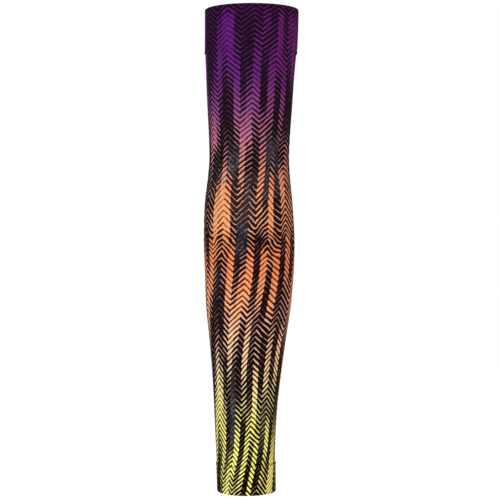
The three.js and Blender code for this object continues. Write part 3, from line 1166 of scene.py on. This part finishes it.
def sew(name, drop, turn, out):
    """Bars of thread: drop, turn and out hold one row per stitch and one column per point along it."""
    count, along = drop.shape
    line = skin(drop.ravel(), turn.reshape(-1, 1), out.reshape(-1, 1)).reshape(count, along, 3)
    normal = np.concatenate([outward(turn), np.zeros((count, along, 1))], axis=-1)
    ahead = np.gradient(line, axis=1)
    across = np.cross(ahead, normal)
    across /= np.linalg.norm(across, axis=-1, keepdims=True)
    up = np.cross(across, ahead)
    up /= np.linalg.norm(up, axis=-1, keepdims=True)
    plump = np.sin(np.linspace(STITCH_TAPER, math.pi - STITCH_TAPER, along)) ** 0.5 * THREAD_RADIUS * MM
    angle = np.arange(STITCH_SIDES) * 2 * math.pi / STITCH_SIDES
    spokes = up[:, :, None] * np.cos(angle)[:, None] + across[:, :, None] * np.sin(angle)[:, None]
    points = line[:, :, None] + spokes * plump[None, :, None, None]
    corner = np.arange(count * along * STITCH_SIDES).reshape(count, along, STITCH_SIDES)
    beside = np.roll(corner, -1, axis=2)
    sides = np.stack([corner[:, :-1], beside[:, :-1], beside[:, 1:], corner[:, 1:]], axis=-1)
    faces = sides.reshape(-1, 4).tolist() + corner[:, 0, ::-1].tolist() + corner[:, -1].tolist()
    mesh = bpy.data.meshes.new(name)
    mesh.from_pydata(points.reshape(-1, 3).tolist(), [], faces)
    twist = np.arange(along)[:, None] * THREAD_TWIST / along + np.arange(STITCH_SIDES) / STITCH_SIDES
    twist = np.broadcast_to(twist, corner.shape).astype(np.float32)
    mesh.attributes.new("twist", "FLOAT", "POINT").data.foreach_set("value", twist.ravel())
    return finish_piece(name, mesh, [thread])


print(f"thread {2 * THREAD_RADIUS} mm thick")

# %% [markdown]
# The bands are joined to the body by stitches that step over the band's edge, and the tube is closed
# at the back by a flat seam whose threads cross it to and fro.

# %% Sew the seams
EDGE_STITCH = 2.6  # mm from stitch to stitch
EDGE_PATH = [  # mm from the band's edge towards the rim, and mm off the skin
    (1.5, 0.45), (1.1, 0.8), (0.6, 0.82), (0.1, 0.7), (-0.25, 0.4), (-0.7, 0.14), (-1.1, -0.2),
]
EDGE_SLANT = 0.5
BACK_STITCH = 1.8
BACK_SEAM_HALF = 2.2
BACK_CLEARANCE = 1.5  # mm that the back seam keeps from the bands
BACK_POINTS = 9
CROSSING_REACH = 0.5  # of a stitch's pitch, to either side
STRAIGHT_REACH = 0.46
STITCH_LIFT = 0.14  # mm off the skin
STITCH_DIVE = 0.34  # mm that its ends go down
DIVE_POWER = 8  # the higher, the steeper the dive


def edge_stitches(name, seam, towards_rim):
    """Stitches from a band, over its edge, to the body."""
    step_over, off_skin = np.transpose(EDGE_PATH)
    girth = 2 * math.pi * arm_radius(seam)
    count = int(girth / EDGE_STITCH)
    places = np.arange(count) * 360 / count
    drop = np.broadcast_to(seam + towards_rim * step_over, (count, len(step_over)))
    slant = step_over / girth * 360 * EDGE_SLANT
    turn = places[:, None] + slant + eased(drop, PANEL_LEAN)
    return sew(name, drop, turn, np.broadcast_to(off_skin, drop.shape))


def back_stitches(name, from_drop, to_drop):
    """A flat seam at the back: threads that cross it to and fro between two rows of straight stitches."""
    count = int((to_drop - from_drop) / BACK_STITCH)
    along = np.linspace(-1, 1, BACK_POINTS)
    middle = from_drop + (np.arange(count)[:, None] + 0.5) * BACK_STITCH
    to_and_fro = np.where(np.arange(count) % 2 == 0, 1, -1)[:, None]
    crossing = middle + CROSSING_REACH * BACK_STITCH * along * to_and_fro
    straight = middle + STRAIGHT_REACH * BACK_STITCH * along
    drop = np.concatenate([crossing, straight, straight])
    across = np.concatenate([0 * crossing + along, 0 * straight - 1, 0 * straight + 1]) * BACK_SEAM_HALF
    turn = 180 + eased(drop, PANEL_LEAN) + np.degrees(across / arm_radius(drop))
    dive = STITCH_DIVE * np.abs(along) ** DIVE_POWER
    return sew(name, drop, turn, STITCH_LIFT - ditch(across) - dive)


upper_seam_thread = edge_stitches("upper_seam_thread", UPPER_SEAM, -1)
wrist_seam_thread = edge_stitches("wrist_seam_thread", WRIST_SEAM, 1)
back_ends = (UPPER_SEAM + BACK_CLEARANCE, WRIST_SEAM - BACK_CLEARANCE)
back_seam_thread = back_stitches("back_seam_thread", *back_ends)
for piece in (upper_seam_thread, wrist_seam_thread, back_seam_thread):
    print(f"{piece.name}: {len(piece.data.polygons)} faces")
